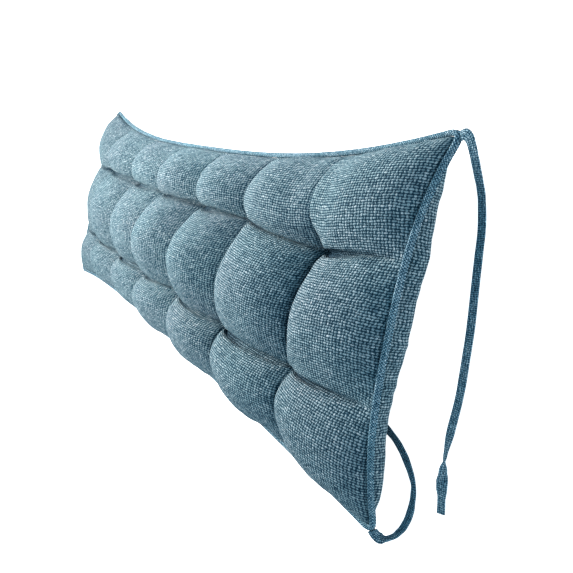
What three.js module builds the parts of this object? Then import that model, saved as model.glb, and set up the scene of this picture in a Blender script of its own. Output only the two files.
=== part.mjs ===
// Tufted headboard cushion, lying on its back, in millimetres.
// X runs along its length, Y from its lower to its upper long edge, Z out of the tufted face.
// The origin is under the middle of the cushion, on the surface that its back rests on.

import * as THREE from "three";
import { mergeVertices } from "three/addons/utils/BufferGeometryUtils.js";

// Outline along the piped seam
const LENGTH = 1500;
const WIDTH = 500;
const NARROWER_LEFT_END = 25;
const PULL_IN = { top: 64, bottom: 24, left: 15, right: 12 };
const PULL_SKEW = { top: -0.05, bottom: -0.34, left: 0, right: 0.33 };
const LONG_EDGE_POWER = 3;
const SHORT_EDGE_POWER = 2.7;
const CORNER_SPAN = 16;

// Height of the seam above the resting surface, at mid-edge and at the corners
const SEAM_MID = { top: 36, bottom: 45, left: 51, right: 70 };
const SEAM_CORNER = { topLeft: 19, topRight: 39, bottomRight: 34, bottomLeft: 48 };

// Tufting: seven puffs by three, with twelve tufts between them
const PITCH_X = 216;
const PITCH_Y = 185;
const SHIFT_X = -10;
const SHIFT_Y = -3;
const HALF_COLUMNS = 3.5;
const HALF_ROWS = 1.5;
const TUFT_HEIGHT = 58;
const PIT_DEPTH = 9;
const PIT_REACH = 30;
const CROWN = { top: 62, middle: 79, bottom: 62 };
const COLUMN_FULLNESS = [0.56, 0.92, 1.01, 1.15, 1.14, 1.03, 0.77];
const VALLEY_ACROSS = 0.44;
const VALLEY_ALONG = 0.3;
const PUFF_POWER = 0.55;

// The hand-set tufts don't keep to straight rows: how far each lies off its place
const TUFT_OFFSETS = {
  top: [[15, -2], [18, -10], [11, -14], [5, -13], [2, -10], [18, -20]],
  bottom: [[3, -1], [-12, -7], [-20, -8], [-24, -6], [-24, -15], [5, -12]],
};

// How the face rises from the seam, and how the back curves in to its flat
const RISE_X = 157;
const RISE_Y = 106;
const RISE_DELAY = 1.1;
const BACK_CURVE = 106;
const BACK_BULGE = 10.6;

// The fuller bulge of the right end, by place along it from -1 at the lower corner to 1 at the upper one
const RIGHT_BULGE = [
  { v: -1, bulge: 12 }, { v: -0.8, bulge: 14 }, { v: -0.43, bulge: 6 }, { v: -0.05, bulge: 15 },
  { v: 0.35, bulge: 18 }, { v: 0.7, bulge: 8 }, { v: 1, bulge: 0 },
];

// Piping, and the space left between it and the cushion
const PIPING_RADIUS = 3.9;
const CLEARANCE = 0.4;

// Ties: flat folded straps sewn into the two right-hand corners
const TIE_WIDTH = 14;
const TIE_THICKNESS = 3;
const TIE_STEP = 12;

// Each point is x, y, z and the strap's turn about its run, in degrees
const TIE_TOP_ROUTE = [
  [750.5, 244, 40, 0], [758, 246, 41, 0], [765, 242, 40, 0], [770, 232, 37, 0], [773, 218, 31, 0],
  [774, 202, 22, 0], [774, 185, 12, 0], [774, 167, 5, 0], [778, 144, 2, 0], [783, 115, 2, 0],
  [788, 86, 2, 0], [793, 58, 2, 0], [798, 29, 2, 0], [802, -6, 2, 0], [806, -50, 2, 0],
  [806, -92, 2.5, 0], [809, -122, 5, 30], [814, -139, 7.6, 90], [815, -157, 5, 150], [817, -173, 2.5, 180],
  [821, -189, 2, 180],
];
const TIE_BOTTOM_ROUTE = [
  [747, -248.5, 33.2, -40], [748.2, -253, 29.2, -45], [750, -257, 23.5, -55], [753.5, -258, 17.2, -58],
  [759, -253, 11.5, -48], [765, -243.5, 7.5, -28], [770.2, -230, 4.6, -10], [772.2, -214, 2.9, -3],
  [771.8, -196, 3.2, -12], [768, -179, 3.9, -18], [757, -166.8, 3.2, -10], [742.5, -156, 2.4, -3],
  [728, -146.2, 3, -10], [711.2, -139, 3.2, -14], [692.7, -134.5, 2.6, -8], [675, -131.5, 1.8, 0],
];

// Grid steps for each puff
const STEPS = { innerX: 8, outerX: 10, innerY: 8, outerY: 10 };
const SEAM_STEPS = { long: 72, short: 30, round: 8 };

const INNER_X = HALF_COLUMNS - 1;
const INNER_Y = HALF_ROWS - 1;
const INSET = PIPING_RADIUS + CLEARANCE;
const FAR = 1000;

const clamp01 = (value) => Math.min(Math.max(value, 0), 1);
const mix = (a, b, share) => a + (b - a) * share;
const smooth = (share) => share * share * (3 - 2 * share);

// A rise that starts upright at the edge and levels out after `reach`
const roundRise = (distance, reach) => Math.sqrt(1 - (1 - clamp01(distance / reach)) ** 2);

const pull = (w, power, depth, skew) => depth * (1 - Math.abs(w) ** power) * (1 + skew * w);

// Puff coordinate to a place: even pitch between the tufts, then out to the edge
function along(c, inner, pitch, shift, half) {
  const side = Math.sign(c);
  const core = Math.min(Math.abs(c), inner) * pitch * side + shift;
  return core + side * clamp01(Math.abs(c) - inner) * (half - side * shift - inner * pitch);
}

// How far the tufts drag the cover sideways at puff coordinates (s, t)
function drag(s, t) {
  let x = 0;
  let y = 0;
  for (const [row, place] of [["top", INNER_Y], ["bottom", -INNER_Y]]) {
    TUFT_OFFSETS[row].forEach(([dx, dy], i) => {
      const alongRow = smooth(clamp01(1 - Math.abs(s - (i - INNER_X))));
      const weight = alongRow * smooth(clamp01(1 - Math.abs(t - place)));
      x += dx * weight;
      y += dy * weight;
    });
  }
  return [x, y];
}

// Plan position of puff coordinates (s, t), with its distance from the end and from the long edge
function plan(s, t) {
  const halfX = LENGTH / 2;
  const halfY = WIDTH / 2;
  const u = along(s, INNER_X, PITCH_X, SHIFT_X, halfX) / halfX;
  const v = along(t, INNER_Y, PITCH_Y, SHIFT_Y, halfY) / halfY;
  const end = s > 0 ? "right" : "left";
  const edge = t > 0 ? "top" : "bottom";
  const narrowing = t > 0 ? 0 : NARROWER_LEFT_END * (1 - u) / 2;
  const reachX = halfX - INSET - pull(v, SHORT_EDGE_POWER, PULL_IN[end], PULL_SKEW[end]);
  const reachY = halfY - INSET - pull(u, LONG_EDGE_POWER, PULL_IN[edge], PULL_SKEW[edge]) - narrowing;
  const roomX = reachX - Math.sign(s) * SHIFT_X - INNER_X * PITCH_X;
  const roomY = reachY - Math.sign(t) * SHIFT_Y - INNER_Y * PITCH_Y;
  const fromEnd = Math.abs(s) <= INNER_X ? FAR : (1 - clamp01(Math.abs(s) - INNER_X)) * roomX;
  const fromEdge = Math.abs(t) <= INNER_Y ? FAR : (1 - clamp01(Math.abs(t) - INNER_Y)) * roomY;
  const rounding = 0.25 * CORNER_SPAN * clamp01(1 - (fromEnd + fromEdge) / CORNER_SPAN) ** 2;
  return {
    x: along(s, INNER_X, PITCH_X, SHIFT_X, reachX) - Math.sign(s) * rounding,
    y: along(t, INNER_Y, PITCH_Y, SHIFT_Y, reachY) - Math.sign(t) * rounding,
    u, v, fromEnd, fromEdge,
  };
}

// Height of the seam, carried inwards from the four edges
function seamHeight(u, v) {
  const { topLeft, topRight, bottomRight, bottomLeft } = SEAM_CORNER;
  const edge = (w, power, mid, from, to) =>
    mix(from, to, (w + 1) / 2) + (mid - (from + to) / 2) * (1 - Math.abs(w) ** power);
  const top = edge(u, LONG_EDGE_POWER, SEAM_MID.top, topLeft, topRight);
  const bottom = edge(u, LONG_EDGE_POWER, SEAM_MID.bottom, bottomLeft, bottomRight);
  const right = edge(v, SHORT_EDGE_POWER, SEAM_MID.right, bottomRight, topRight);
  const left = edge(v, SHORT_EDGE_POWER, SEAM_MID.left, bottomLeft, topLeft);
  const across = (u + 1) / 2;
  const up = (v + 1) / 2;
  const corners = mix(mix(bottomLeft, bottomRight, across), mix(topLeft, topRight, across), up);
  return mix(bottom, top, up) + mix(left, right, across) - corners;
}

// Fullness of a puff along one direction: 0 in the valleys, 1 at its crown
function fullness(c, inner) {
  const beyond = Math.abs(c) - inner;
  const wave = beyond < 0 ? Math.abs(Math.cos(Math.PI * (c + inner + 0.5)))
    : Math.sin(Math.PI / 2 * clamp01(beyond * 2));
  return wave ** PUFF_POWER;
}

function facePoint(s, t) {
  const p = plan(s, t);
  const fullX = fullness(s, INNER_X);
  const fullY = fullness(t, INNER_Y);
  const row = t > INNER_Y ? CROWN.top : t < -INNER_Y ? CROWN.bottom : CROWN.middle;
  const column = COLUMN_FULLNESS[Math.min(Math.max(Math.round(s + HALF_COLUMNS - 0.5), 0), 6)];
  const least = Math.min(CROWN.top, CROWN.bottom);
  const crown = mix(least, row, fullY) * mix(1, column, fullX);
  const puff = VALLEY_ACROSS * fullX + VALLEY_ALONG * fullY
    + (1 - VALLEY_ACROSS - VALLEY_ALONG) * fullX * fullY;
  const waveX = Math.abs(Math.cos(Math.PI * Math.min(Math.abs(s), HALF_COLUMNS - 0.5)));
  const waveY = Math.abs(Math.cos(Math.PI * Math.min(Math.abs(t), HALF_ROWS - 0.5)));
  const rise = roundRise(p.fromEnd, RISE_X) ** (1 + RISE_DELAY * (1 - waveY))
    * roundRise(p.fromEdge, RISE_Y) ** (1 + RISE_DELAY * (1 - waveX));
  const nearest = Math.min(Math.max(Math.round(s - 0.5) + 0.5, -INNER_X), INNER_X);
  const away = Math.hypot((s - nearest) * PITCH_X, (Math.abs(t) - INNER_Y) * PITCH_Y);
  const inside = TUFT_HEIGHT + crown * puff - PIT_DEPTH * Math.exp(-away / PIT_REACH);
  const [dragX, dragY] = drag(s, t);
  return [p.x + dragX, p.y + dragY, mix(seamHeight(p.u, p.v), inside, rise)];
}

function rightBulge(v) {
  let i = 1;
  while (i < RIGHT_BULGE.length - 1 && v > RIGHT_BULGE[i].v) {
    i += 1;
  }
  const [from, to] = [RIGHT_BULGE[i - 1], RIGHT_BULGE[i]];
  return mix(from.bulge, to.bulge, smooth(clamp01((v - from.v) / (to.v - from.v))));
}

function backPoint(s, t) {
  const p = plan(s, t);
  const seam = seamHeight(p.u, p.v);
  const inwards = roundRise(p.fromEnd, BACK_CURVE) * roundRise(p.fromEdge, BACK_CURVE);
  const wave = Math.sin(Math.PI * inwards) ** 2;
  const endBulge = s > 0 ? rightBulge(p.v) : BACK_BULGE * (1 - Math.abs(p.v) ** 3);
  const edgeBulge = BACK_BULGE * (1 - Math.abs(p.u) ** 6);
  const bulgeX = p.fromEnd < BACK_CURVE ? wave * endBulge : 0;
  const bulgeY = p.fromEdge < BACK_CURVE ? wave * edgeBulge : 0;
  return [p.x + Math.sign(s) * bulgeX, p.y + Math.sign(t) * bulgeY, seam * (1 - inwards)];
}

// Grid lines, closer together beside the valleys and the seam
function gridLines(half, innerSteps, outerSteps) {
  const lines = [-half];
  for (let cell = -half; cell < half; cell += 1) {
    const steps = cell === -half || cell === half - 1 ? outerSteps : innerSteps;
    for (let i = 1; i <= steps; i += 1) {
      lines.push(cell + (1 - Math.cos(Math.PI * i / steps)) / 2);
    }
  }
  return lines;
}

function cushionGeometry() {
  const columns = gridLines(HALF_COLUMNS, STEPS.innerX, STEPS.outerX);
  const rows = gridLines(HALF_ROWS, STEPS.innerY, STEPS.outerY);
  const last = [columns.length - 1, rows.length - 1];
  const onEdge = (i, j) => i === 0 || j === 0 || i === last[0] || j === last[1];
  const positions = [];
  const triangles = [];
  const add = (point) => positions.push(...point) / 3 - 1;
  const face = columns.map((s) => rows.map((t) => add(facePoint(s, t))));
  const back = columns.map((s, i) => rows.map((t, j) => (onEdge(i, j) ? face[i][j] : add(backPoint(s, t)))));
  for (let i = 0; i < last[0]; i += 1) {
    for (let j = 0; j < last[1]; j += 1) {
      const corners = (grid) => [grid[i][j], grid[i + 1][j], grid[i + 1][j + 1], grid[i][j + 1]];
      const [a, b, c, d] = corners(face);
      const [e, f, g, h] = corners(back);
      triangles.push(a, b, c, a, c, d, e, g, f, e, h, g);
    }
  }
  const geometry = new THREE.BufferGeometry();
  geometry.setAttribute("position", new THREE.Float32BufferAttribute(positions, 3));
  geometry.setIndex(triangles);
  geometry.computeVertexNormals();
  return geometry;
}

// The cushion's sewn edge, once round, stepped finely at the corners
function edgePoint(k) {
  const total = 2 * (SEAM_STEPS.long + SEAM_STEPS.short);
  const sides = [
    [SEAM_STEPS.long, (w) => [w, 1]],
    [SEAM_STEPS.short, (w) => [1, -w]],
    [SEAM_STEPS.long, (w) => [-w, -1]],
    [SEAM_STEPS.short, (w) => [-1, w]],
  ];
  let step = (k - Math.floor(k)) * total;
  let side = 0;
  while (side < 3 && step >= sides[side][0]) {
    step -= sides[side][0];
    side += 1;
  }
  const [steps, cornerPlace] = sides[side];
  const even = 2 * step / steps - 1;
  const [a, b] = cornerPlace(mix(even, Math.sin(Math.PI / 2 * even), 0.8));
  const p = plan(a * HALF_COLUMNS, b * HALF_ROWS);
  return new THREE.Vector3(p.x, p.y, seamHeight(p.u, p.v));
}

// The piping's centre line follows that edge, one piping radius and the clearance outside it
class PipingCurve extends THREE.Curve {
  getPoint(k, target = new THREE.Vector3()) {
    const outwards = edgePoint(k + 1e-3).sub(edgePoint(k - 1e-3)).setZ(0).normalize();
    outwards.set(-outwards.y, outwards.x, 0);
    return target.copy(edgePoint(k)).addScaledVector(outwards, INSET);
  }

  getPointAt(k, target) {
    return this.getPoint(k, target);
  }

  getTangentAt(k, target) {
    return this.getTangent(k, target);
  }

  getTangent(k, target = new THREE.Vector3()) {
    return target.copy(this.getPoint(k + 1e-3).sub(this.getPoint(k - 1e-3))).normalize();
  }
}

function pipingGeometry() {
  const steps = 2 * (SEAM_STEPS.long + SEAM_STEPS.short);
  const tube = new THREE.TubeGeometry(new PipingCurve(), steps, PIPING_RADIUS, SEAM_STEPS.round, true);
  tube.deleteAttribute("normal");
  tube.deleteAttribute("uv");
  const closed = mergeVertices(tube, 1e-3);
  closed.computeVertexNormals();
  return closed;
}

// A strap's run: its width stays level, apart from the turns that the route gives
class StrapCurve extends THREE.CatmullRomCurve3 {
  constructor(route) {
    super(route.map(([x, y, z]) => new THREE.Vector3(x, y, z)), false, "centripetal");
    this.turns = route.map((point) => THREE.MathUtils.degToRad(point[3]));
  }

  turnAt(k) {
    const place = this.getUtoTmapping(k) * (this.turns.length - 1);
    const i = Math.min(Math.floor(place), this.turns.length - 2);
    return mix(this.turns[i], this.turns[i + 1], smooth(place - i));
  }

  computeFrenetFrames(segments) {
    const frames = { tangents: [], normals: [], binormals: [] };
    for (let i = 0; i <= segments; i += 1) {
      const tangent = this.getTangentAt(i / segments);
      const level = new THREE.Vector3(0, 0, 1).cross(tangent).normalize();
      const normal = level.applyAxisAngle(tangent, this.turnAt(i / segments));
      frames.tangents.push(tangent);
      frames.normals.push(normal);
      frames.binormals.push(new THREE.Vector3().crossVectors(tangent, normal));
    }
    return frames;
  }
}

function tieGeometry(route) {
  const w = TIE_WIDTH / 2;
  const h = TIE_THICKNESS / 2;
  const section = new THREE.Shape([
    [w, -h / 3], [w, h / 3], [w - h, h], [-w + h, h], [-w, h / 3], [-w, -h / 3], [-w + h, -h], [w - h, -h],
  ].map(([x, y]) => new THREE.Vector2(x, y)));
  const run = new StrapCurve(route);
  const steps = Math.round(run.getLength() / TIE_STEP);
  return new THREE.ExtrudeGeometry(section, { steps, extrudePath: run });
}

const woven = (color) => new THREE.MeshStandardMaterial({ color, roughness: 0.95, metalness: 0 });

function piece(name, geometry, color) {
  const mesh = new THREE.Mesh(geometry, woven(color));
  mesh.name = name;
  return mesh;
}

const part = new THREE.Group();
part.add(
  piece("cushion", cushionGeometry(), 0x6e8a99),
  piece("piping", pipingGeometry(), 0x5f7b8b),
  piece("tie_top", tieGeometry(TIE_TOP_ROUTE), 0x5a7484),
  piece("tie_bottom", tieGeometry(TIE_BOTTOM_ROUTE), 0x5a7484),
);

export default part;
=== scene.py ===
"""A tufted headboard cushion in coarse blue-grey cloth, lying on its back, in metres.

X runs along its length, Y from its lower to its upper long edge, Z out of the tufted face.
"""

import math

import bpy
import numpy as np
from mathutils import Matrix, Vector


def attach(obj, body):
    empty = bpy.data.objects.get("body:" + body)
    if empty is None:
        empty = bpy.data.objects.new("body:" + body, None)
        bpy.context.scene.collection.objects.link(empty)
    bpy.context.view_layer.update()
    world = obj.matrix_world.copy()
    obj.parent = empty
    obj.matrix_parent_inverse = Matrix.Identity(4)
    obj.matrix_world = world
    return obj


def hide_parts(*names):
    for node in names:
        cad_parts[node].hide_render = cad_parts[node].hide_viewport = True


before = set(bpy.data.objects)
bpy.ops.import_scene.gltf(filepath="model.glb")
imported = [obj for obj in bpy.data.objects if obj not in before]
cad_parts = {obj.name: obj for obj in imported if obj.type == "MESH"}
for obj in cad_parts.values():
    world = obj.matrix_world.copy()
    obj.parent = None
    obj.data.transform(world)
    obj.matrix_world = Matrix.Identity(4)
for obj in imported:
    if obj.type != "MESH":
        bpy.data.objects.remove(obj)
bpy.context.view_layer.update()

# Outline along the piped seam
LENGTH = 1.5
WIDTH = 0.5
NARROWER_LEFT_END = 0.025
PULL_IN = {"top": 0.064, "bottom": 0.024, "left": 0.015, "right": 0.012}
PULL_SKEW = {"top": -0.05, "bottom": -0.34, "left": 0.0, "right": 0.33}
LONG_EDGE_POWER = 3
SHORT_EDGE_POWER = 2.7
CORNER_SPAN = 0.016
CORNER_CUT = 0.25

# Height of the seam above the resting surface, at mid-edge and at the corners
SEAM_MID = {"top": 0.036, "bottom": 0.045, "left": 0.051, "right": 0.070}
SEAM_CORNER = {"top_left": 0.019, "top_right": 0.039, "bottom_right": 0.034, "bottom_left": 0.048}

# Tufting: seven puffs by three, with twelve tufts between them
PITCH_X = 0.216
PITCH_Y = 0.185
SHIFT_X = -0.010
SHIFT_Y = -0.003
HALF_COLUMNS = 3.5
HALF_ROWS = 1.5
INNER_X = HALF_COLUMNS - 1
INNER_Y = HALF_ROWS - 1
TUFT_HEIGHT = 0.058
PIT_DEPTH = 0.009
PIT_REACH = 0.030
CROWN = {"top": 0.062, "middle": 0.079, "bottom": 0.062}
COLUMN_FULLNESS = np.array([0.56, 0.92, 1.01, 1.15, 1.14, 1.03, 0.77])
VALLEY_ACROSS = 0.44
VALLEY_ALONG = 0.3
PUFF_POWER = 0.55

# How far each tuft lies off its place in the rows
TUFT_OFFSETS = {
    "top": [(15, -2), (18, -10), (11, -14), (5, -13), (2, -10), (18, -20)],
    "bottom": [(3, -1), (-12, -7), (-20, -8), (-24, -6), (-24, -15), (5, -12)],
}
TUFT_UNIT = 0.001
TUFTS = [(column - INNER_X, row) for row in (INNER_Y, -INNER_Y) for column in range(6)]

# How the face rises from the seam, and how the back curves in to its flat
RISE_X = 0.157
RISE_Y = 0.106
RISE_DELAY = 1.1
BACK_CURVE = 0.106
BACK_BULGE = 0.0106
BULGE_POWER = {"ends": 3, "long edges": 6}

# The fuller bulge of the right end, from its lower corner at -1 to its upper one at 1
RIGHT_BULGE = [
    (-1, 0.012), (-0.8, 0.014), (-0.43, 0.006), (-0.05, 0.015),
    (0.35, 0.018), (0.7, 0.008), (1, 0),
]

# Piping, with the stitched flange and the groove along its face side
PIPING_RADIUS = 0.0039
PIPING_SWELL = 0.0002
CLEARANCE = 0.0004
INSET = PIPING_RADIUS + CLEARANCE
FLANGE_HEIGHT, FLANGE_TURN = 0.0013, 0.75
GROOVE_DEPTH, GROOVE_TURN = 0.0008, 0.25
FLANGE_SPREAD = 0.2
FLANGE_UNEVEN, FLANGE_SPACING = 0.35, 0.03
BUMP_HEIGHT, BUMP_SPACING = 0.0001, 0.010
BUMP_ROUND = 0.004

# Section of a tie: places across it, how square its edges are, the groove where its folds meet
TIE_WIDTH = 0.014
TIE_THICKNESS = 0.003
TIE_ACROSS = np.array([-1, -0.85, -0.6, -0.35, -0.12, 0, 0.12, 0.35, 0.6, 0.85, 1])
TIE_SQUARENESS = 3.2
TIE_GROOVE_DEPTH = 0.5
TIE_GROOVE_WIDTH = 0.09
TIE_ROUGHNESS, TIE_LUMP, TIE_LUMP_NARROWER = 0.00022, 0.009, 3
TIE_WIDTH_CHANGE, TIE_WIDTH_SPACING = 0.03, 0.02

# Each point is x, y, z and the strap's turn about its run, in degrees
TIE_TOP_ROUTE = [
    (0.7505, 0.244, 0.040, 0), (0.758, 0.246, 0.041, 0), (0.765, 0.242, 0.040, 0),
    (0.770, 0.232, 0.037, 0), (0.773, 0.218, 0.031, 0), (0.774, 0.202, 0.022, 0),
    (0.774, 0.185, 0.012, 0), (0.774, 0.167, 0.005, 0), (0.778, 0.144, 0.002, 0),
    (0.783, 0.115, 0.002, 0), (0.788, 0.086, 0.002, 0), (0.793, 0.058, 0.002, 0),
    (0.798, 0.029, 0.002, 0), (0.802, -0.006, 0.002, 0), (0.806, -0.050, 0.002, 0),
    (0.806, -0.092, 0.0025, 0), (0.809, -0.122, 0.005, 30), (0.814, -0.139, 0.0076, 90),
    (0.815, -0.157, 0.005, 150), (0.817, -0.173, 0.0025, 180), (0.821, -0.189, 0.002, 180),
]
TIE_BOTTOM_ROUTE = [
    (0.747, -0.2485, 0.0332, -40), (0.7482, -0.253, 0.0292, -45), (0.750, -0.257, 0.0235, -55),
    (0.7535, -0.258, 0.0172, -58), (0.759, -0.253, 0.0115, -48), (0.765, -0.2435, 0.0075, -28),
    (0.7702, -0.230, 0.0046, -10), (0.7722, -0.214, 0.0029, -3), (0.7718, -0.196, 0.0032, -12),
    (0.768, -0.179, 0.0039, -18), (0.757, -0.1668, 0.0032, -10), (0.7425, -0.156, 0.0024, -3),
    (0.728, -0.1462, 0.003, -10), (0.7112, -0.139, 0.0032, -14), (0.6927, -0.1345, 0.0026, -8),
    (0.675, -0.1315, 0.0018, 0),
]
TIE_TOP_LENGTH = 0.462
TIE_BOTTOM_LENGTH = 0.216

# Fine relief of the cover: heights of its forms, and how far they reach
EDGE_FADE = 0.05
FILLING_HEIGHT, FILLING_SPACING = 0.0030, 0.11
LUMP_HEIGHT, LUMP_SPACING = 0.0010, 0.045
TUFT_FOLD_HEIGHT, TUFT_FOLD_REACH = 0.0022, 0.022
WRINKLE_HEIGHT, WRINKLE_REACH = 0.0009, 0.014
WRINKLE_RUN = 0.4
PUCKER_HEIGHT, PUCKER_REACH = 0.0020, 0.016
PUCKER_SPACING = 0.011
PUCKER_START = 0.004
FOLD_DEPTH, FOLD_WIDTH = 0.0040, 0.0044
FOLD_LENGTH, FOLD_LEAST = 0.5, 0.35
FOLD_END_POWER = 4
FOLD_CHANGE, FOLD_STEP = 0.045, 0.7
FILLED_HEIGHT, FILLED_WIDTH = 0.014, 0.026
FILLED_START, FILLED_SPAN = 0.08, 0.35
BACK_PUCKER_HEIGHT = 0.0022
BACK_WAVE_HEIGHT, BACK_WAVE_SPACING = 0.0015, 0.05
BACK_LIFT, BACK_LIFT_REACH = 0.005, 0.025

# Threads of the weave: spacing of the upright and of the level ones, and on piping and ties
THREAD = np.array([0.0054, 0.0036])
NARROW_THREAD = 0.0026
PUFF_BREAK = (1.37, 1.61)

# Yarn and cloth colours, and the colours of painted shade, as linear red, green and blue
COVER_YARN = {"dark": (0.034, 0.082, 0.122), "mid": (0.222, 0.303, 0.340), "light": (0.53, 0.57, 0.60)}
# Piping and ties: a lighter copy of the cover's yarns, painted light that stands in for the lamp light
# they get too little of
BAND_YARN_WITH_PAINTED_LIGHT = {"dark": (0.034, 0.110, 0.165), "mid": (0.23, 0.37, 0.45), "light": (0.64, 0.76, 0.83)}
YARN_PLACES = {"dark": 0.22, "mid": 0.5, "light": 0.80}
PATCH_TINT = (0.72, 1.0, 0.98)
# Painted shade in the gaps between threads: the yarn is multiplied towards this colour where the threads
# sink
GAP_SHADE_TINT = (0.06, 0.14, 0.19)
# Painted shade in the creases: the cloth there is multiplied towards this colour
FOLD_SHADE_TINT = (0.05, 0.12, 0.18)
SHEEN_TINT = (0.6, 0.82, 1.0)

# Weave: how far threads wander, how they bend and round, how their tone changes, and its relief
WANDER, WANDER_SCALE = 0.6, 0.3
WARP_BEND, WARP_ROUND = 0.9, 1.2
WEFT_BEND, WEFT_ROUND = 0.6, 0.8
WARP_STEP, WEFT_STEP = 3.7, 4.3
YARN_RUN = 0.30
YARN_DETAIL = 3.0
FIBRE_SCALE, FIBRE_SHARE = 4.0, 0.25
PATCH_SCALE, PATCH_SHARE = 0.03, 0.3
PATCH_LOW, PATCH_HIGH = 0.35, 0.65
SLUB_SCALE, SLUB_RUN, SLUB_SHARE = 1.1, 0.6, 0.7
# Thread heights over which the painted shade in the gaps fades out
GAP_LOW, GAP_HIGH = 0.50, 0.78
# Share of painted shade at the deepest point of a crease
FOLD_SHADE = 0.95
SMOOTHEST = 0.82
WEAVE_RELIEF = 0.0016

# Slices of the noise, one for each pattern of the cloth
SLICE = {
    "wander along": 3.0, "wander across": 9.0, "warp": 1.0, "weft": 7.0,
    "fibre": 5.0, "patches": 2.0, "slub": 13.0,
}

# Seeds of the uneven forms
SEED = {
    "tie top": 11, "tie bottom": 12, "filling": 21, "lumps": 22, "back": 23,
    "face puckers": 31, "back puckers": 33, "tuft folds": 40, "piping": 51, "flange": 52,
    "wrinkles across": 71, "wrinkles along": 72, "folds": 82,
}

# Camera, its sensor and lens in millimetres
CAMERA_PLACE = (1.40498, 0.15768, 0.61213)
CAMERA_RIGHT = (0.4719, 0.1958, -0.8596)
CAMERA_UP = (-0.2222, 0.9700, 0.0990)
CAMERA_BACK = (0.8532, 0.1443, 0.5012)
SENSOR = 36
LENS = 45.73
CLIP_START, CLIP_END = 0.01, 50

# Mesh steps
PUFF_STEPS = 60
LINE_CROWDING = 0.6
EDGE_SAMPLES = 2000
CORNER_CROWDING = 0.8
PIPING_STEPS = 1500
PIPING_SIDES = 28
TIE_STEP = 0.002
SPLINE_STEPS = 40
NOISE_CELLS = 64

# Distance that stands for no edge near, one too small to matter, and half the floor's width
FAR = 1.0
TINY = 1e-6
FLOOR_REACH = 8


def clamp01(value):
    return np.clip(value, 0.0, 1.0)


def mix(a, b, share):
    return a + (b - a) * share


def smooth(share):
    return share * share * (3 - 2 * share)


def bell(distance, width):
    return np.exp(-(distance / width) ** 2)


def unit(vectors):
    return vectors / np.linalg.norm(vectors, axis=-1, keepdims=True)


def value_noise(x, y, size, seed):
    """Smooth random relief from -1 to 1, with its hills about `size` apart."""
    lattice = np.random.default_rng(seed).uniform(-1, 1, (NOISE_CELLS, NOISE_CELLS))
    gx, gy = np.broadcast_arrays(x / size, y / size)
    ix, iy = np.floor(gx).astype(int), np.floor(gy).astype(int)
    fx, fy = smooth(gx - ix), smooth(gy - iy)

    def corner(a, b):
        return lattice[(ix + a) % NOISE_CELLS, (iy + b) % NOISE_CELLS]

    return mix(mix(corner(0, 0), corner(1, 0), fx), mix(corner(0, 1), corner(1, 1), fx), fy)


def run_along(points):
    """Distance of each point from the first, along the line through them."""
    return np.concatenate([[0], np.cumsum(np.linalg.norm(np.diff(points, axis=0), axis=1))])


def points_at(places, run, points):
    return np.column_stack([np.interp(places, run, points[:, k]) for k in range(3)])


def mesh_object(name, points, polygons, uvs=None):
    """A smooth-shaded mesh with one UV per polygon corner, in threads of the weave."""
    mesh = bpy.data.meshes.new(name)
    mesh.from_pydata([tuple(p) for p in points], [], polygons)
    if uvs is not None:
        layer = mesh.uv_layers.new(name="weave")
        layer.data.foreach_set("uv", np.asarray(uvs, np.float32).ravel())
    mesh.polygons.foreach_set("use_smooth", [True] * len(mesh.polygons))
    mesh.validate()
    mesh.update()
    obj = bpy.data.objects.new(name, mesh)
    bpy.context.scene.collection.objects.link(obj)
    return obj


def tube_faces(rings, sides, u, v):
    """Quads and corner UVs between rings of points. A last u past the last ring closes the tube."""
    polygons, uvs = [], []
    for i in range(len(u) - 1):
        n = (i + 1) % rings
        for k in range(sides):
            m = (k + 1) % sides
            polygons.append((i * sides + k, i * sides + m, n * sides + m, n * sides + k))
            uvs += [(u[i], v[k]), (u[i], v[k + 1]), (u[i + 1], v[k + 1]), (u[i + 1], v[k])]
    return polygons, uvs


# Camera and ties

def add_camera():
    data = bpy.data.cameras.new("camera")
    data.sensor_width = SENSOR
    data.lens = LENS
    data.clip_start = CLIP_START
    data.clip_end = CLIP_END
    camera = bpy.data.objects.new("camera", data)
    axes = Matrix((CAMERA_RIGHT, CAMERA_UP, CAMERA_BACK)).transposed()
    camera.matrix_world = Matrix.Translation(CAMERA_PLACE) @ axes.normalized().to_4x4()
    bpy.context.scene.collection.objects.link(camera)
    bpy.context.scene.camera = camera


def spline_points(route, step):
    """Points and turns along a centripetal Catmull-Rom spline through the route, evenly spaced."""
    through = np.array([p[:3] for p in route], float)
    turns = np.radians([p[3] for p in route])
    before = 2 * through[0] - through[1]
    after = 2 * through[-1] - through[-2]
    padded = np.vstack([before, through, after])
    places, angles = [], []
    for i in range(len(through) - 1):
        p0, p1, p2, p3 = padded[i:i + 4]
        d0, d1, d2 = (np.linalg.norm(b - a) ** 0.5 for a, b in ((p0, p1), (p1, p2), (p2, p3)))
        m1 = ((p1 - p0) / d0 - (p2 - p0) / (d0 + d1) + (p2 - p1) / d1) * d1
        m2 = ((p2 - p1) / d1 - (p3 - p1) / (d1 + d2) + (p3 - p2) / d2) * d1
        w = np.linspace(0, 1, SPLINE_STEPS, endpoint=i == len(through) - 2)[:, None]
        cubic = (2 * p1 - 2 * p2 + m1 + m2) * w ** 3 + (3 * p2 - 3 * p1 - 2 * m1 - m2) * w ** 2
        places.append(cubic + m1 * w + p1)
        angles.append(mix(turns[i], turns[i + 1], smooth(w[:, 0])))
    places, angles = np.vstack(places), np.concatenate(angles)
    run = run_along(places)
    even = np.linspace(0, run[-1], int(round(run[-1] / step)) + 1)
    return points_at(even, run, places), np.interp(even, run, angles), even


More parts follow.
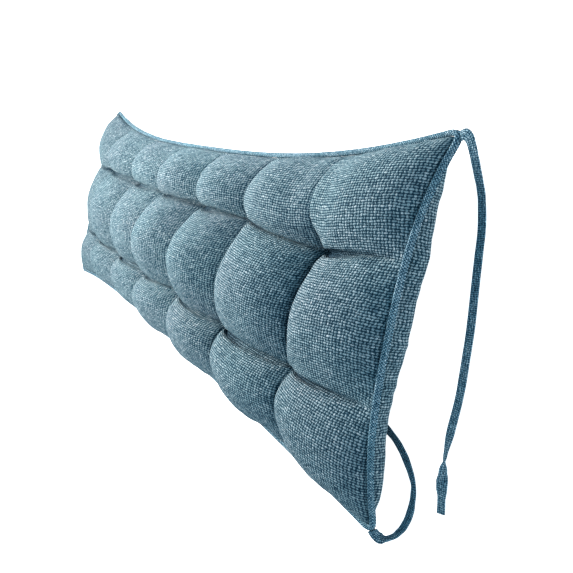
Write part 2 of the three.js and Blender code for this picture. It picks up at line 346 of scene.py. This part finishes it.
def tie_section():
    """Half-round edges, and a shallow groove down the middle of each side where the folds meet."""
    swell = np.sqrt(1 - np.abs(TIE_ACROSS) ** TIE_SQUARENESS)
    groove = 1 - TIE_GROOVE_DEPTH * bell(TIE_ACROSS, TIE_GROOVE_WIDTH)
    upper = np.column_stack([TIE_ACROSS * TIE_WIDTH / 2, swell * groove * TIE_THICKNESS / 2])
    lower = upper[::-1] * (1, -1)
    return np.vstack([upper[:-1], lower[:-1]])


def make_tie(name, route, seed):
    points, turns, run = spline_points(route, TIE_STEP)
    tangents = unit(np.gradient(points, axis=0))
    level = unit(np.cross((0.0, 0.0, 1.0), tangents))
    flat = np.cross(tangents, level)
    wide = level * np.cos(turns)[:, None] + flat * np.sin(turns)[:, None]
    thick = np.cross(tangents, wide)
    section = tie_section()
    sides = len(section)
    around = run_along(section)
    over = around[None, :] * TIE_LUMP_NARROWER
    rough = value_noise(run[:, None], over, TIE_LUMP, seed) * TIE_ROUGHNESS
    widening = 1 + TIE_WIDTH_CHANGE * value_noise(run, 0.0, TIE_WIDTH_SPACING, seed + 1)
    width = section[:, 0] * widening[:, None]
    height = section[:, 1] + np.sign(section[:, 1]) * rough
    rings = points[:, None] + width[..., None] * wide[:, None] + height[..., None] * thick[:, None]
    closed = np.append(around, around[-1] + around[1])
    polygons, uvs = tube_faces(len(points), sides, run / NARROW_THREAD, closed / NARROW_THREAD)
    for ring, order in ((0, range(sides - 1, -1, -1)), (len(points) - 1, range(sides))):
        polygons.append(tuple(ring * sides + k for k in order))
        uvs += [tuple(section[k] / NARROW_THREAD) for k in order]
    return mesh_object(name, rings.reshape(-1, 3), polygons, uvs), points


add_camera()
tie_top, top_path = make_tie("Tie_top", TIE_TOP_ROUTE, SEED["tie top"])
tie_bottom, bottom_path = make_tie("Tie_bottom", TIE_BOTTOM_ROUTE, SEED["tie bottom"])
for tie, path, length, node in (
    (tie_top, top_path, TIE_TOP_LENGTH, "tie_top"),
    (tie_bottom, bottom_path, TIE_BOTTOM_LENGTH, "tie_bottom"),
):
    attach(tie, "root")
    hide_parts(node)


# Shape of the cushion, as in the solid

def round_rise(distance, reach):
    return np.sqrt(1 - (1 - clamp01(distance / reach)) ** 2)


def pull(w, power, side, positive, negative):
    """How far an edge is drawn in at w, from -1 to 1 along it, on the side given by its sign."""
    depth = np.where(side > 0, PULL_IN[positive], PULL_IN[negative])
    skew = np.where(side > 0, PULL_SKEW[positive], PULL_SKEW[negative])
    return depth * (1 - np.abs(w) ** power) * (1 + skew * w)


def along(c, inner, pitch, shift, half):
    """Puff coordinate to a place: even pitch between the tufts, then out to the edge."""
    side = np.sign(c)
    core = np.minimum(np.abs(c), inner) * pitch * side + shift
    return core + side * clamp01(np.abs(c) - inner) * (half - side * shift - inner * pitch)


def drag(s, t):
    """How far the tufts drag the cover sideways at puff coordinates (s, t)."""
    x = np.zeros(np.broadcast(s, t).shape)
    y = np.zeros_like(x)
    for (column, row), (dx, dy) in zip(TUFTS, TUFT_OFFSETS["top"] + TUFT_OFFSETS["bottom"]):
        weight = smooth(clamp01(1 - np.abs(s - column))) * smooth(clamp01(1 - np.abs(t - row)))
        x += dx * TUFT_UNIT * weight
        y += dy * TUFT_UNIT * weight
    return x, y


def from_border(c, inner, room):
    """Distance to the seam within the outer puffs, and far off within the others."""
    return np.where(np.abs(c) <= inner, FAR, (1 - clamp01(np.abs(c) - inner)) * room)


def plan(s, t):
    """Plan position at (s, t), its share of the length and width, and its distance from both edges."""
    half_x, half_y = LENGTH / 2, WIDTH / 2
    u = along(s, INNER_X, PITCH_X, SHIFT_X, half_x) / half_x
    v = along(t, INNER_Y, PITCH_Y, SHIFT_Y, half_y) / half_y
    narrowing = np.where(t > 0, 0, NARROWER_LEFT_END * (1 - u) / 2)
    reach_x = half_x - INSET - pull(v, SHORT_EDGE_POWER, s, "right", "left")
    reach_y = half_y - INSET - pull(u, LONG_EDGE_POWER, t, "top", "bottom") - narrowing
    from_end = from_border(s, INNER_X, reach_x - np.sign(s) * SHIFT_X - INNER_X * PITCH_X)
    from_edge = from_border(t, INNER_Y, reach_y - np.sign(t) * SHIFT_Y - INNER_Y * PITCH_Y)
    in_corner = clamp01(1 - (from_end + from_edge) / CORNER_SPAN)
    rounding = CORNER_CUT * CORNER_SPAN * in_corner ** 2
    x = along(s, INNER_X, PITCH_X, SHIFT_X, reach_x) - np.sign(s) * rounding
    y = along(t, INNER_Y, PITCH_Y, SHIFT_Y, reach_y) - np.sign(t) * rounding
    return x, y, u, v, from_end, from_edge


def seam_height(u, v):
    """Height of the seam, carried inwards from the four edges."""
    c = SEAM_CORNER

    def edge(w, power, mid, start, stop):
        return mix(start, stop, (w + 1) / 2) + (mid - (start + stop) / 2) * (1 - np.abs(w) ** power)

    top = edge(u, LONG_EDGE_POWER, SEAM_MID["top"], c["top_left"], c["top_right"])
    bottom = edge(u, LONG_EDGE_POWER, SEAM_MID["bottom"], c["bottom_left"], c["bottom_right"])
    right = edge(v, SHORT_EDGE_POWER, SEAM_MID["right"], c["bottom_right"], c["top_right"])
    left = edge(v, SHORT_EDGE_POWER, SEAM_MID["left"], c["bottom_left"], c["top_left"])
    across, up = (u + 1) / 2, (v + 1) / 2
    low = mix(c["bottom_left"], c["bottom_right"], across)
    high = mix(c["top_left"], c["top_right"], across)
    return mix(bottom, top, up) + mix(left, right, across) - mix(low, high, up)


def fullness(c, inner):
    """0 in the valleys, 1 at a puff's crown."""
    beyond = np.abs(c) - inner
    between = np.abs(np.cos(np.pi * (c + inner + 0.5)))
    outer = np.sin(np.pi / 2 * clamp01(beyond * 2))
    return np.where(beyond < 0, between, outer) ** PUFF_POWER


def crown_line(c, half):
    """0 in the valleys, 1 along a puff's middle and from there to the seam."""
    return np.abs(np.cos(np.pi * np.minimum(np.abs(c), half - 0.5)))


def from_column(s):
    """Distance from the nearest column of tufts, with its sign."""
    nearest = np.clip(np.round(s - 0.5) + 0.5, -INNER_X, INNER_X)
    return (s - nearest) * PITCH_X


def from_row(t):
    """Distance from the nearer row of tufts, with its sign."""
    return (np.abs(t) - INNER_Y) * PITCH_Y


def face_points(s, t):
    x, y, u, v, from_end, from_edge = plan(s, t)
    full_x, full_y = fullness(s, INNER_X), fullness(t, INNER_Y)
    row = np.where(t > INNER_Y, CROWN["top"], np.where(t < -INNER_Y, CROWN["bottom"], CROWN["middle"]))
    number = np.floor(s + HALF_COLUMNS).astype(int)
    column = COLUMN_FULLNESS[np.clip(number, 0, len(COLUMN_FULLNESS) - 1)]
    crown = mix(min(CROWN["top"], CROWN["bottom"]), row, full_y) * mix(1, column, full_x)
    puff = VALLEY_ACROSS * full_x + VALLEY_ALONG * full_y
    puff = puff + (1 - VALLEY_ACROSS - VALLEY_ALONG) * full_x * full_y
    delay_end = 1 + RISE_DELAY * (1 - crown_line(t, HALF_ROWS))
    delay_edge = 1 + RISE_DELAY * (1 - crown_line(s, HALF_COLUMNS))
    rise = round_rise(from_end, RISE_X) ** delay_end * round_rise(from_edge, RISE_Y) ** delay_edge
    away = np.hypot(from_column(s), from_row(t))
    inside = TUFT_HEIGHT + crown * puff - PIT_DEPTH * np.exp(-away / PIT_REACH)
    drag_x, drag_y = drag(s, t)
    return np.stack([x + drag_x, y + drag_y, mix(seam_height(u, v), inside, rise)], axis=-1)


def right_bulge(v):
    places, bulges = np.array(RIGHT_BULGE, float).T
    i = np.clip(np.searchsorted(places, v) - 1, 0, len(places) - 2)
    share = clamp01((v - places[i]) / (places[i + 1] - places[i]))
    return mix(bulges[i], bulges[i + 1], smooth(share))


def back_points(s, t):
    x, y, u, v, from_end, from_edge = plan(s, t)
    inwards = round_rise(from_end, BACK_CURVE) * round_rise(from_edge, BACK_CURVE)
    wave = np.sin(np.pi * inwards) ** 2
    left_bulge = BACK_BULGE * (1 - np.abs(v) ** BULGE_POWER["ends"])
    edge_bulge = BACK_BULGE * (1 - np.abs(u) ** BULGE_POWER["long edges"])
    bulge_x = np.where(from_end < BACK_CURVE, wave * np.where(s > 0, right_bulge(v), left_bulge), 0)
    bulge_y = np.where(from_edge < BACK_CURVE, wave * edge_bulge, 0)
    z = seam_height(u, v) * (1 - inwards)
    return np.stack([x + np.sign(s) * bulge_x, y + np.sign(t) * bulge_y, z], axis=-1)


# Fine shape of the cover: filling, folds at the tufts, puckers at the seam

def grid_lines(half):
    """Lines across the puffs, closer together beside the valleys and the seam."""
    share = np.arange(PUFF_STEPS) / PUFF_STEPS
    within = mix(share, (1 - np.cos(np.pi * share)) / 2, LINE_CROWDING)
    cells = np.arange(-half, half)
    return np.append((cells[:, None] + within).ravel(), half)


def surface_normals(points):
    return unit(np.cross(np.gradient(points, axis=0), np.gradient(points, axis=1)))


def seam_puckers(x, y, from_end, from_edge, seed):
    """Short gathers square to the seam, which die out within a few centimetres."""
    long_side = value_noise(x, 0.0, PUCKER_SPACING, seed) * np.exp(-from_edge / PUCKER_REACH)
    short_side = value_noise(y, 0.0, PUCKER_SPACING, seed + 1) * np.exp(-from_end / PUCKER_REACH)
    near = np.minimum(from_end, from_edge)
    return (long_side + short_side) * clamp01(near / PUCKER_START)


def tuft_folds(s, t):
    """Folds that run out from each tuft, uneven by their direction from it."""
    ring, middle, spacing = 1.6, 5, 0.55
    total = np.zeros(np.broadcast(s, t).shape)
    for number, (column, row) in enumerate(TUFTS):
        dx = (s - column) * PITCH_X
        dy = (t - row) * PITCH_Y
        away = np.hypot(dx, dy) + TINY
        place_x, place_y = dx / away * ring + middle, dy / away * ring + middle
        turn = value_noise(place_x, place_y, spacing, SEED["tuft folds"] + number)
        total += turn * (away / TUFT_FOLD_REACH) * np.exp(1 - away / TUFT_FOLD_REACH)
    return total


def valley_wrinkles(s, t, x, y):
    """Small wrinkles square to the valleys."""
    beside_column = np.exp(-np.abs(from_column(s)) / WRINKLE_REACH)
    beside_row = np.exp(-np.abs(from_row(t)) / WRINKLE_REACH)
    across = value_noise(y, s * WRINKLE_RUN, WRINKLE_REACH, SEED["wrinkles across"]) * beside_column
    lengthwise = value_noise(x, t * WRINKLE_RUN, WRINKLE_REACH, SEED["wrinkles along"]) * beside_row
    return across + lengthwise


def filled_valley(s, t):
    """How far the last valley of the top row fills up on its way from the tuft to the seam."""
    beside = bell((s - INNER_X) * PITCH_X, FILLED_WIDTH)
    return beside * smooth(clamp01((t - INNER_Y - FILLED_START) / FILLED_SPAN))


def creases(s, t, y, from_end, from_edge):
    """The sharp fold along the bottom of each valley, which fades out towards the seam."""
    fade = smooth(clamp01(np.minimum(from_end, from_edge) / EDGE_FADE))
    past_tuft = np.where(np.abs(s) < INNER_X, np.remainder(s + INNER_X, 1), np.abs(s) - INNER_X)
    depth = FOLD_LEAST + (1 - FOLD_LEAST) * np.exp(-(past_tuft / FOLD_LENGTH) ** FOLD_END_POWER)
    lengthwise = bell(from_row(t), FOLD_WIDTH) * depth
    uneven = 0.5 + 0.5 * value_noise(y, np.floor(s) * FOLD_STEP, FOLD_CHANGE, SEED["folds"])
    across = bell(from_column(s), FOLD_WIDTH) * uneven
    return np.maximum(lengthwise, across * (1 - filled_valley(s, t))) * fade


def detailed_face(s, t):
    """The face with its relief, and how deep each point lies in a crease."""
    points = face_points(s, t)
    x, y, _, _, from_end, from_edge = plan(s, t)
    folds = creases(s, t, y, from_end, from_edge)
    rise = clamp01(np.minimum(from_end, from_edge) / EDGE_FADE)
    relief = value_noise(x, y, FILLING_SPACING, SEED["filling"]) * FILLING_HEIGHT * rise
    relief += value_noise(x, y, LUMP_SPACING, SEED["lumps"]) * LUMP_HEIGHT * rise
    relief += tuft_folds(s, t) * TUFT_FOLD_HEIGHT
    relief += valley_wrinkles(s, t, x, y) * WRINKLE_HEIGHT * rise
    relief += seam_puckers(x, y, from_end, from_edge, SEED["face puckers"]) * PUCKER_HEIGHT
    relief -= folds * FOLD_DEPTH
    relief += FILLED_HEIGHT * filled_valley(s, t) * rise
    return points + surface_normals(points) * relief[..., None], folds


def detailed_back(s, t):
    """The back with its relief, lifted a little off the floor under each tuft."""
    points = back_points(s, t)
    x, y, _, _, from_end, from_edge = plan(s, t)
    inwards = round_rise(from_end, BACK_CURVE) * round_rise(from_edge, BACK_CURVE)
    relief = seam_puckers(x, y, from_end, from_edge, SEED["back puckers"]) * BACK_PUCKER_HEIGHT
    waves = value_noise(x, y, BACK_WAVE_SPACING, SEED["back"]) * BACK_WAVE_HEIGHT
    relief += waves * inwards * (1 - inwards) * 4
    points = points - surface_normals(points) * relief[..., None]
    away = np.full(points.shape[:2], FAR)
    for column, row in TUFTS:
        away = np.minimum(away, np.hypot((s - column) * PITCH_X, (t - row) * PITCH_Y))
    lift = BACK_LIFT * bell(away, BACK_LIFT_REACH) * inwards
    points[..., 2] = np.maximum(points[..., 2] + lift, 0)
    return points


def run_over(points):
    """Distance over the cloth along both grid directions."""
    u = np.zeros(points.shape[:2])
    v = np.zeros(points.shape[:2])
    u[1:] = np.cumsum(np.linalg.norm(np.diff(points, axis=0), axis=-1), axis=0)
    v[:, 1:] = np.cumsum(np.linalg.norm(np.diff(points, axis=1), axis=-1), axis=1)
    return u, v


def face_uvs(points):
    """Per-corner UVs of the face: the weave runs true over each puff and breaks in the valleys."""
    u, v = run_over(points)
    i, j = np.meshgrid(*(np.arange(n - 1) for n in points.shape[:2]), indexing="ij")
    column, row = i // PUFF_STEPS, j // PUFF_STEPS
    mid_i, mid_j = column * PUFF_STEPS + PUFF_STEPS // 2, row * PUFF_STEPS + PUFF_STEPS // 2
    corners = []
    for a, b in ((0, 0), (1, 0), (1, 1), (0, 1)):
        corner_u = u[i + a, j + b] - u[mid_i, j + b] + column * PITCH_X * PUFF_BREAK[0]
        corner_v = v[i + a, j + b] - v[i + a, mid_j] + row * PITCH_Y * PUFF_BREAK[1]
        corners.append(np.stack([corner_u, corner_v], axis=-1))
    return (np.stack(corners, axis=2) / THREAD).reshape(-1, 2)


def back_faces(ids, back_ids, uvs):
    """Quads of the back. Those at the seam also take in the face's point half-way along their side."""
    polygons, corner_uvs = [], []
    last_i, last_j = back_ids.shape[0] - 2, back_ids.shape[1] - 2
    for i in range(last_i + 1):
        for j in range(last_j + 1):
            ring = [(i, j), (i, j + 1), (i + 1, j + 1), (i + 1, j)]
            at_seam = (i == 0, j == last_j, i == last_i, j == 0)
            polygon = []
            for k, (a, b) in enumerate(ring):
                polygon.append(int(back_ids[a, b]))
                corner_uvs.append(uvs[a, b])
                if at_seam[k]:
                    c, d = ring[(k + 1) % 4]
                    polygon.append(int(ids[a + c, b + d]))
                    corner_uvs.append((uvs[a, b] + uvs[c, d]) / 2)
            polygons.append(tuple(polygon))
    return polygons, corner_uvs


def make_cushion():
    """Face and back as one closed skin, with every other grid line of the face on the back."""
    s_lines, t_lines = grid_lines(HALF_COLUMNS), grid_lines(HALF_ROWS)
    face, folds = detailed_face(s_lines[:, None], t_lines[None, :])
    ids = np.arange(folds.size).reshape(folds.shape)
    quads = np.stack([ids[:-1, :-1], ids[1:, :-1], ids[1:, 1:], ids[:-1, 1:]], axis=-1)

    inner = detailed_back(s_lines[::2][:, None], t_lines[::2][None, :])[1:-1, 1:-1]
    back = face[::2, ::2].copy()
    back[1:-1, 1:-1] = inner
    back_ids = ids[::2, ::2].copy()
    back_ids[1:-1, 1:-1] = ids.size + np.arange(inner[..., 0].size).reshape(inner.shape[:2])
    u, v = run_over(back)
    from_middle = np.stack([u - u[u.shape[0] // 2], v - v[:, [v.shape[1] // 2]]], axis=-1)
    back_polygons, back_uvs = back_faces(ids, back_ids, from_middle / THREAD)

    points = np.vstack([face.reshape(-1, 3), inner.reshape(-1, 3)])
    polygons = [tuple(q) for q in quads.reshape(-1, 4).tolist()] + back_polygons
    made = mesh_object("Cushion", points, polygons, np.vstack([face_uvs(face), back_uvs]))
    # Crease depth at each point of the face, which the cloth uses to paint shade into the creases
    crease_shade_mask = np.zeros(len(points))
    crease_shade_mask[:ids.size] = folds.ravel()
    made.data.attributes.new("fold", "FLOAT", "POINT").data.foreach_set("value", crease_shade_mask)
    return made


# Piping

def seam_line(count):
    """The sewn edge as evenly spaced points, clockwise from its upper left corner."""
    share = np.linspace(-1, 1, EDGE_SAMPLES, endpoint=False)
    w = mix(share, np.sin(np.pi / 2 * share), CORNER_CROWDING)
    one = np.ones_like(w)
    sides = ((w, one), (one, -w), (-w, -one), (-one, w))
    s = np.concatenate([side[0] for side in sides]) * HALF_COLUMNS
    t = np.concatenate([side[1] for side in sides]) * HALF_ROWS
    x, y, u, v, _, _ = plan(s, t)
    loop = np.stack([x, y, seam_height(u, v)], axis=-1)
    closed = np.vstack([loop, loop[:1]])
    run = run_along(closed)
    even = np.linspace(0, run[-1], count, endpoint=False)
    return points_at(even, run, closed), even


def tangents_of(loop):
    reach = 3
    return unit(np.roll(loop, -reach, axis=0) - np.roll(loop, reach, axis=0))


def make_piping():
    seam, run = seam_line(PIPING_STEPS)
    tangents = tangents_of(seam)
    outwards = unit(np.column_stack([-tangents[:, 1], tangents[:, 0], np.zeros(len(seam))]))
    centre = seam + outwards * INSET
    up = unit(np.cross(outwards, tangents_of(centre)))
    up = up * np.sign(up[:, [2]])
    angles = np.linspace(0, 2 * np.pi, PIPING_SIDES, endpoint=False)
    turned = np.remainder(angles + np.pi, 2 * np.pi) - np.pi
    flange = FLANGE_HEIGHT * bell(turned + FLANGE_TURN, FLANGE_SPREAD)
    flange = flange - GROOVE_DEPTH * bell(turned + GROOVE_TURN, FLANGE_SPREAD)
    uneven = 1 + FLANGE_UNEVEN * value_noise(run, 0.0, FLANGE_SPACING, SEED["flange"])
    over = angles[None, :] * BUMP_ROUND
    bumps = value_noise(run[:, None], over, BUMP_SPACING, SEED["piping"]) * BUMP_HEIGHT
    radius = PIPING_RADIUS + PIPING_SWELL + bumps + flange[None, :] * uneven[:, None]
    cosine, sine = np.cos(angles)[None, :, None], np.sin(angles)[None, :, None]
    rings = centre[:, None] + (outwards[:, None] * cosine + up[:, None] * sine) * radius[..., None]
    u = np.append(run, run[-1] + run[1]) / NARROW_THREAD
    v = np.arange(PIPING_SIDES + 1) * PIPING_RADIUS * 2 * np.pi / PIPING_SIDES / NARROW_THREAD
    polygons, uvs = tube_faces(len(seam), PIPING_SIDES, u, v)
    return mesh_object("Piping", rings.reshape(-1, 3), polygons, uvs)


# Materials

class Weave:
    """Node tree of one woven cloth."""

    def __init__(self, name):
        self.material = bpy.data.materials.new(name)
        self.material.use_nodes = True
        self.tree = self.material.node_tree
        self.shader = self.tree.nodes["Principled BSDF"]

    def node(self, kind, **settings):
        made = self.tree.nodes.new(kind)
        for key, value in settings.items():
            setattr(made, key, value)
        return made

    def feed(self, socket, value):
        if isinstance(value, bpy.types.NodeSocket):
            self.tree.links.new(value, socket)
        else:
            socket.default_value = value

    def math(self, operation, *values):
        made = self.node("ShaderNodeMath", operation=operation)
        for socket, value in zip(made.inputs, values):
            self.feed(socket, value)
        return made.outputs[0]

    def noise(self, x, y, pattern, scale, detail=2.0):
        vector = self.node("ShaderNodeCombineXYZ")
        for socket, value in zip(vector.inputs, (x, y, SLICE[pattern])):
            self.feed(socket, value)
        made = self.node("ShaderNodeTexNoise")
        self.feed(made.inputs["Vector"], vector.outputs[0])
        made.inputs["Scale"].default_value = scale
        made.inputs["Detail"].default_value = detail
        return made.outputs[0]

    def remap(self, value, low, high, to_low, to_high):
        made = self.node("ShaderNodeMapRange")
        for socket, number in zip(made.inputs, (value, low, high, to_low, to_high)):
            self.feed(socket, number)
        return made.outputs[0]

    def blend(self, share, a, b, mode="MIX"):
        made = self.node("ShaderNodeMix", data_type="RGBA", blend_type=mode)
        for place, value in ((0, share), (6, a), (7, b)):
            self.feed(made.inputs[place], value)
        return made.outputs[2]

    def tint(self, colour, factor, share=1.0):
        return self.blend(share, colour, (*factor, 1), "MULTIPLY")

    def uv(self, turn):
        """The two thread directions, turned by so many degrees."""
        turned = self.node("ShaderNodeMapping")
        self.feed(turned.inputs["Vector"], self.node("ShaderNodeUVMap", uv_map="weave").outputs[0])
        turned.inputs["Rotation"].default_value = (0, 0, math.radians(turn))
        split = self.node("ShaderNodeSeparateXYZ")
        self.feed(split.inputs[0], turned.outputs[0])
        return split.outputs[0], split.outputs[1]

    def wander(self, x, y, straight, pattern):
        """A thread direction that strays a little from its straight run."""
        stray = self.remap(self.noise(x, y, pattern, WANDER_SCALE), 0, 1, -WANDER, WANDER)
        return self.math("ADD", straight, stray)

    def thread(self, index, run, fraction, bend, roundness):
        """Height of threads that pass over and under along their run and are rounded across it."""
        phase = self.math("MULTIPLY", self.math("ADD", index, run), math.pi)
        over = self.math("MULTIPLY_ADD", self.math("SINE", phase), 0.5, 0.5)
        across = self.math("SINE", self.math("MULTIPLY", fraction, math.pi))
        return self.math("MULTIPLY", self.math("POWER", over, bend), self.math("POWER", across, roundness))

    def yarn(self, index, run, step, pattern):
        """Tone that differs from thread to thread and changes slowly along each."""
        x, y = self.math("MULTIPLY", index, step), self.math("MULTIPLY", run, YARN_RUN)
        return self.noise(x, y, pattern, 1.0, YARN_DETAIL)

    def ramp(self, tone, colours):
        made = self.node("ShaderNodeValToRGB")
        self.feed(made.inputs[0], tone)
        stops = made.color_ramp.elements
        for stop, key in zip((stops[0], stops[1]), ("dark", "light")):
            stop.position, stop.color = YARN_PLACES[key], (*colours[key], 1)
        stops.new(YARN_PLACES["mid"]).color = (*colours["mid"], 1)
        return made.outputs[0]

    def uneven(self, base, noise, share):
        return self.math("MULTIPLY_ADD", self.math("SUBTRACT", noise, 0.5), share, base)


def woven_cloth(name, colours, turn=0.0):
    """Plain weave of heathered yarns: colour, painted shade in the gaps between threads, and relief follow
    the same threads.
    """
    cloth = Weave(name)
    x, y = cloth.uv(turn)
    u, v = cloth.wander(x, y, x, "wander along"), cloth.wander(x, y, y, "wander across")
    i, j = cloth.math("FLOOR", u), cloth.math("FLOOR", v)
    warp = cloth.thread(i, v, cloth.math("FRACT", u), WARP_BEND, WARP_ROUND)
    weft = cloth.thread(cloth.math("ADD", j, 1.0), u, cloth.math("FRACT", v), WEFT_BEND, WEFT_ROUND)
    height = cloth.math("MAXIMUM", warp, weft)
    on_top = cloth.math("GREATER_THAN", weft, warp)
    warp_tone = cloth.yarn(i, v, WARP_STEP, "warp")
    weft_tone = cloth.yarn(j, u, WEFT_STEP, "weft")
    warp_part = cloth.math("MULTIPLY", warp_tone, cloth.math("SUBTRACT", 1.0, on_top))
    tone = cloth.math("ADD", warp_part, cloth.math("MULTIPLY", weft_tone, on_top))
    fibre = cloth.noise(u, v, "fibre", FIBRE_SCALE, YARN_DETAIL)
    yarn = cloth.ramp(cloth.uneven(tone, fibre, FIBRE_SHARE), colours)
    spots = cloth.noise(x, y, "patches", PATCH_SCALE)
    patches = cloth.remap(spots, PATCH_LOW, PATCH_HIGH, 0.0, PATCH_SHARE)
    yarn = cloth.tint(yarn, PATCH_TINT, patches)
    slub = cloth.noise(cloth.math("MULTIPLY", u, SLUB_RUN), v, "slub", SLUB_SCALE)
    # Painted shade in the gaps between threads, where the thread height is low
    outside_gap_shade = cloth.remap(cloth.uneven(height, slub, SLUB_SHARE), GAP_LOW, GAP_HIGH, 0.0, 1.0)
    colour = cloth.blend(outside_gap_shade, cloth.tint(yarn, GAP_SHADE_TINT), yarn)
    # Painted shade in the creases, strongest where they are deepest
    fold = cloth.node("ShaderNodeAttribute", attribute_name="fold").outputs["Fac"]
    deep = cloth.math("MULTIPLY", fold, FOLD_SHADE)
    colour = cloth.blend(deep, colour, cloth.tint(colour, FOLD_SHADE_TINT))
    cloth.feed(cloth.shader.inputs["Base Color"], colour)
    cloth.feed(cloth.shader.inputs["Roughness"], cloth.remap(height, 0, 1, 1.0, SMOOTHEST))
    cloth.shader.inputs["Specular IOR Level"].default_value = 0.0
    cloth.shader.inputs["Sheen Weight"].default_value = 0.04
    cloth.shader.inputs["Sheen Roughness"].default_value = 0.5
    cloth.shader.inputs["Sheen Tint"].default_value = (*SHEEN_TINT, 1)
    bump = cloth.node("ShaderNodeBump")
    bump.inputs["Strength"].default_value = 1.0
    bump.inputs["Distance"].default_value = WEAVE_RELIEF
    cloth.feed(bump.inputs["Height"], cloth.math("MULTIPLY_ADD", fibre, FIBRE_SHARE, height))
    cloth.feed(cloth.shader.inputs["Normal"], bump.outputs[0])
    return cloth.material


cushion = make_cushion()
piping = make_piping()
for piece, node, slot in ((cushion, "cushion", "cover"), (piping, "piping", "piping")):
    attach(piece, "root")
    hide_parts(node)

cushion.data.materials.append(woven_cloth("cover cloth", COVER_YARN))
# Piping and ties wear the cover's yarns made lighter, as painted light
piping.data.materials.append(woven_cloth("piping cloth", BAND_YARN_WITH_PAINTED_LIGHT, turn=45.0))
tie_cloth = woven_cloth("tie cloth", BAND_YARN_WITH_PAINTED_LIGHT)
for tie in (tie_top, tie_bottom):
    tie.data.materials.append(tie_cloth)


# Floor and light

def plain_material(name, colour, glow):
    material = bpy.data.materials.new(name)
    material.use_nodes = True
    shader = material.node_tree.nodes["Principled BSDF"]
    shader.inputs["Base Color"].default_value = (*colour, 1)
    shader.inputs["Roughness"].default_value = 0.9
    shader.inputs["Specular IOR Level"].default_value = 0.1
    shader.inputs["Emission Color"].default_value = (1, 1, 1, 1)
    shader.inputs["Emission Strength"].default_value = glow
    return material


def add_floor():
    r = FLOOR_REACH
    floor = mesh_object("Floor", [(-r, -r, 0), (r, -r, 0), (r, r, 0), (-r, r, 0)], [(0, 1, 2, 3)])
    floor.data.materials.append(plain_material("floor", colour=(0.9, 0.9, 0.9), glow=1.0))


def add_light(name, kind, place, target, power, colour, **shape):
    data = bpy.data.lights.new(name, kind)
    data.energy = power
    data.color = colour
    for key, value in shape.items():
        setattr(data, key, value)
    light = bpy.data.objects.new(name, data)
    light.rotation_mode = "QUATERNION"
    light.rotation_quaternion = (Vector(target) - Vector(place)).to_track_quat("-Z", "Y")
    light.location = place
    bpy.context.scene.collection.objects.link(light)


def add_world(colour, strength):
    world = bpy.data.worlds.new("studio")
    world.use_nodes = True
    background = world.node_tree.nodes["Background"]
    background.inputs["Color"].default_value = (*colour, 1)
    background.inputs["Strength"].default_value = strength
    bpy.context.scene.world = world


add_floor()
add_light(
    "key", "SPOT", place=(-9.0, 1.8, 4.7), target=(-0.30, 0.46, 0.05), power=20400,
    colour=(1.0, 0.89, 0.81), spot_size=math.radians(9.7), spot_blend=1.0, shadow_soft_size=0.45,
)
add_light(
    "fill", "AREA", place=(-0.20, 0.0, 1.0), target=(-0.35, -0.20, 0.05), power=24,
    colour=(1.0, 0.93, 0.86), shape="DISK", size=0.9,
)
add_world(colour=(0.42, 0.77, 1.0), strength=0.70)
bpy.context.scene.view_settings.view_transform = "Standard"
